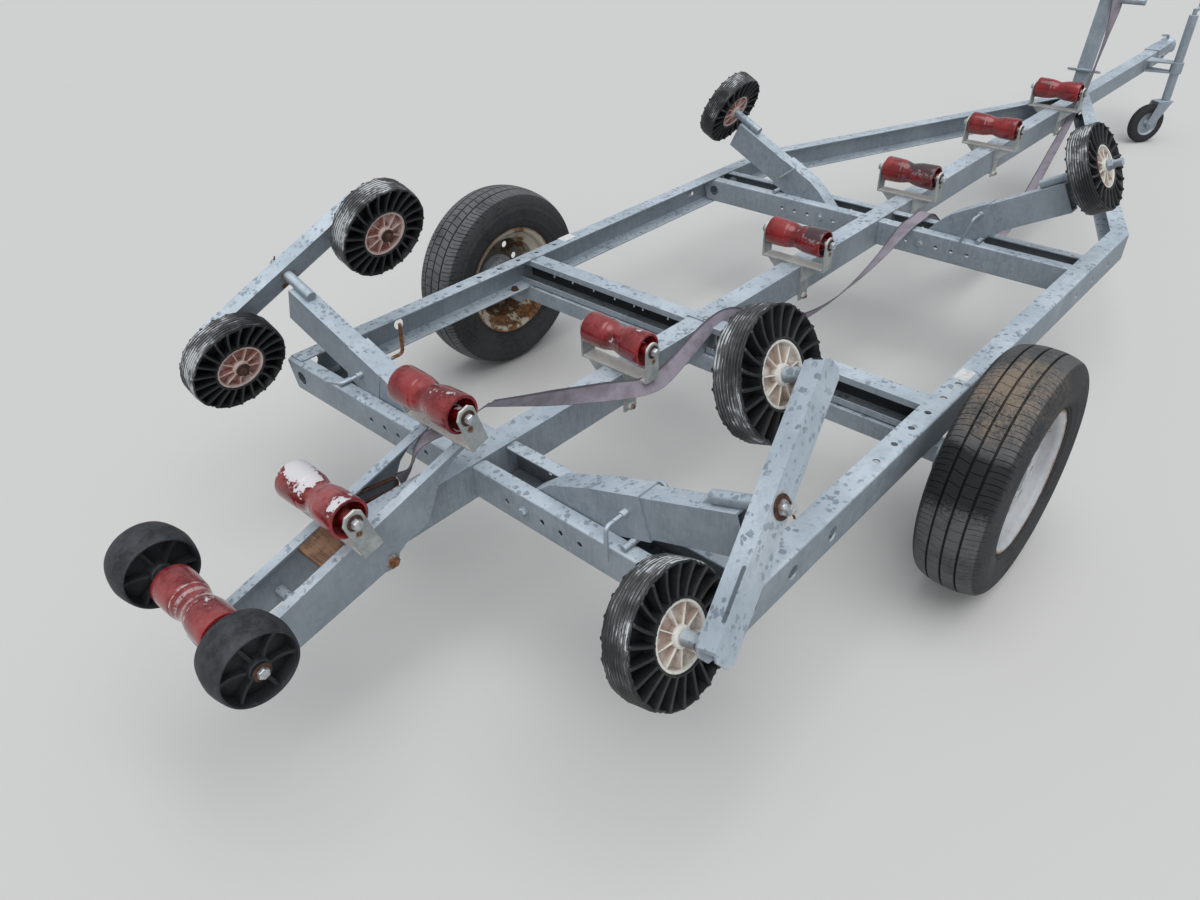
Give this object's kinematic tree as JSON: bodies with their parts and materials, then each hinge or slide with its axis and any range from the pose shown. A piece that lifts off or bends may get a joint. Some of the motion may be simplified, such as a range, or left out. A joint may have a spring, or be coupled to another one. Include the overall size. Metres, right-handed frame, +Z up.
{
  "type": "boat trailer",
  "caption": "Galvanised single-axle boat trailer with red keel rollers, ribbed hull wheels, tilting rear cradle, winch post and jockey wheel.",
  "frame": {"origin": "on the ground, in the middle of the trailer's length and width", "axes": "+X forward to the hitch, +Y to the left, +Z up"},
  "size_m": [6.65, 2.051, 1.2345],
  "materials": {
    "galvanised_steel": "dull galvanised, spangled",
    "zinc_plate": "dull zinc, rust stained",
    "rim_paint": "satin silver",
    "tyre_rubber": "matt",
    "wheel_rubber": "matt",
    "dark_rubber": "matt",
    "red_polyurethane": "satin, scuffed",
    "strap_webbing": "woven, worn",
    "rusty_steel": "rusty",
    "plain_wood": "weathered"
  },
  "bodies": {
    "chassis": {"side_rails": "galvanised_steel", "keel_beam": "galvanised_steel", "drawbar": "galvanised_steel", "rear_crossmember": "galvanised_steel", "front_crossmember": "galvanised_steel", "axle_crossmember": "galvanised_steel", "axle_beam": "galvanised_steel", "support_arms": "galvanised_steel", "arm_tubes": "galvanised_steel", "keel_brackets": "zinc_plate", "coupling": "galvanised_steel", "winch_post": "galvanised_steel", "winch_frame": "zinc_plate", "winch_drum": "zinc_plate", "bow_stop": "dark_rubber", "jockey_clamp": "galvanised_steel", "winch_strap": "strap_webbing"},
    "tilting_cradle": {"cradle": "galvanised_steel", "cradle_brackets": "zinc_plate", "cradle_block": "plain_wood", "strap_tail": "strap_webbing", "strap_hook": "rusty_steel"},
    "left_road_wheel": {"left_tyre": "tyre_rubber", "left_rim": "rim_paint"},
    "right_road_wheel": {"right_tyre": "tyre_rubber", "right_rim": "rim_paint"},
    "right_rocker_bar": {"right_rocker": "galvanised_steel"},
    "left_rocker_bar": {"left_rocker": "galvanised_steel"},
    "jockey_post": {"jockey_leg": "galvanised_steel"},
    "jockey_caster": {"jockey_fork": "galvanised_steel"},
    "jockey_roller": {"jockey_wheel": "wheel_rubber"},
    "right_aft_hull_wheel_body": {"right_aft_hull_wheel": "wheel_rubber"},
    "right_fore_hull_wheel_body": {"right_fore_hull_wheel": "wheel_rubber"},
    "left_aft_hull_wheel_body": {"left_aft_hull_wheel": "wheel_rubber"},
    "left_fore_hull_wheel_body": {"left_fore_hull_wheel": "wheel_rubber"},
    "right_front_hull_wheel_body": {"right_front_hull_wheel": "wheel_rubber"},
    "left_front_hull_wheel_body": {"left_front_hull_wheel": "wheel_rubber"},
    "keel_roller_3_body": {"keel_roller_3": "red_polyurethane"},
    "keel_roller_2_body": {"keel_roller_2": "red_polyurethane"},
    "end_roller_body": {"end_roller": "red_polyurethane"},
    "keel_roller_4_body": {"keel_roller_4": "red_polyurethane"},
    "keel_roller_5_body": {"keel_roller_5": "red_polyurethane"},
    "keel_roller_6_body": {"keel_roller_6": "red_polyurethane"},
    "keel_roller_7_body": {"keel_roller_7": "red_polyurethane"},
    "keel_roller_8_body": {"keel_roller_8": "red_polyurethane"},
    "left_end_wheel_body": {"left_end_wheel": "dark_rubber"},
    "right_end_wheel_body": {"right_end_wheel": "dark_rubber"}
  },
  "joints": [
    {"name": "left_wheel_spin", "type": "hinge", "parent": "chassis", "child": "left_road_wheel", "pos_m": [-1.615, 0.933, 0.325], "axis": [0, 1, 0], "continuous": true},
    {"name": "right_wheel_spin", "type": "hinge", "parent": "chassis", "child": "right_road_wheel", "pos_m": [-1.615, -0.933, 0.325], "axis": [0, 1, 0], "continuous": true},
    {"name": "right_rocker_tilt", "type": "hinge", "parent": "chassis", "child": "right_rocker_bar", "pos_m": [-2.5055, -0.79668, 0.69776], "axis": [0, -0.9432, 0.3322], "range_deg": [-46, 0]},
    {"name": "left_rocker_tilt", "type": "hinge", "parent": "chassis", "child": "left_rocker_bar", "pos_m": [-2.5055, 0.81296, 0.69117], "axis": [0, -0.9489, -0.3156], "range_deg": [-40, 6]},
    {"name": "right_aft_hull_wheel_spin", "type": "hinge", "parent": "right_rocker_bar", "child": "right_aft_hull_wheel_body", "pos_m": [-2.7226, -0.737, 0.51196], "axis": [0, 0.9432, -0.3322], "continuous": true},
    {"name": "right_fore_hull_wheel_spin", "type": "hinge", "parent": "right_rocker_bar", "child": "right_fore_hull_wheel_body", "pos_m": [-2.2884, -0.63375, 0.80516], "axis": [0, 0.9432, -0.3322], "continuous": true},
    {"name": "left_aft_hull_wheel_spin", "type": "hinge", "parent": "left_rocker_bar", "child": "left_aft_hull_wheel_body", "pos_m": [-2.73766, 0.74262, 0.52879], "axis": [0, 0.9489, 0.3156], "continuous": true},
    {"name": "left_fore_hull_wheel_spin", "type": "hinge", "parent": "left_rocker_bar", "child": "left_fore_hull_wheel_body", "pos_m": [-2.27334, 0.65936, 0.77907], "axis": [0, 0.9489, 0.3156], "continuous": true},
    {"name": "right_front_hull_wheel_spin", "type": "hinge", "parent": "chassis", "child": "right_front_hull_wheel_body", "pos_m": [-0.5205, -0.68335, 0.75828], "axis": [0, 0.8763, -0.4818], "continuous": true},
    {"name": "left_front_hull_wheel_spin", "type": "hinge", "parent": "chassis", "child": "left_front_hull_wheel_body", "pos_m": [-0.5205, 0.70532, 0.73494], "axis": [0, 0.9003, 0.4352], "continuous": true},
    {"name": "keel_roller_3_spin", "type": "hinge", "parent": "tilting_cradle", "child": "keel_roller_3_body", "pos_m": [-2.635, 0, 0.65982], "axis": [0, 1, 0], "continuous": true},
    {"name": "keel_roller_2_spin", "type": "hinge", "parent": "tilting_cradle", "child": "keel_roller_2_body", "pos_m": [-2.943, 0, 0.56742], "axis": [0, 1, 0], "continuous": true},
    {"name": "end_roller_spin", "type": "hinge", "parent": "tilting_cradle", "child": "end_roller_body", "pos_m": [-3.239, 0, 0.47862], "axis": [0, 1, 0], "continuous": true},
    {"name": "keel_roller_4_spin", "type": "hinge", "parent": "chassis", "child": "keel_roller_4_body", "pos_m": [-2.012, 0, 0.55], "axis": [0, 1, 0], "continuous": true},
    {"name": "keel_roller_5_spin", "type": "hinge", "parent": "chassis", "child": "keel_roller_5_body", "pos_m": [-1.107, 0, 0.55], "axis": [0, 1, 0], "continuous": true},
    {"name": "keel_roller_6_spin", "type": "hinge", "parent": "chassis", "child": "keel_roller_6_body", "pos_m": [-0.293, 0, 0.55], "axis": [0, 1, 0], "continuous": true},
    {"name": "keel_roller_7_spin", "type": "hinge", "parent": "chassis", "child": "keel_roller_7_body", "pos_m": [0.501, 0, 0.55], "axis": [0, 1, 0], "continuous": true},
    {"name": "keel_roller_8_spin", "type": "hinge", "parent": "chassis", "child": "keel_roller_8_body", "pos_m": [1.29, 0, 0.55], "axis": [0, 1, 0], "continuous": true},
    {"name": "left_end_wheel_spin", "type": "hinge", "parent": "tilting_cradle", "child": "left_end_wheel_body", "pos_m": [-3.239, 0.187, 0.47862], "axis": [0, 1, 0], "continuous": true},
    {"name": "right_end_wheel_spin", "type": "hinge", "parent": "tilting_cradle", "child": "right_end_wheel_body", "pos_m": [-3.239, -0.187, 0.47862], "axis": [0, 1, 0], "continuous": true},
    {"name": "cradle_tilt", "type": "hinge", "parent": "chassis", "child": "tilting_cradle", "pos_m": [-2.855, 0, 0.375], "axis": [0, 1, 0], "range_deg": [0, 18]},
    {"name": "jockey_slide", "type": "slide", "parent": "chassis", "child": "jockey_post", "axis": [0, 0, 1], "range_m": [-0.15, 0]},
    {"name": "jockey_swivel", "type": "hinge", "parent": "jockey_post", "child": "jockey_caster", "pos_m": [2.75, -0.195, 0.232], "axis": [0, 0, 1], "continuous": true},
    {"name": "jockey_wheel_spin", "type": "hinge", "parent": "jockey_caster", "child": "jockey_roller", "pos_m": [2.67628, -0.14338, 0.11], "axis": [-0.5736, -0.8192, 0], "continuous": true}
  ]
}
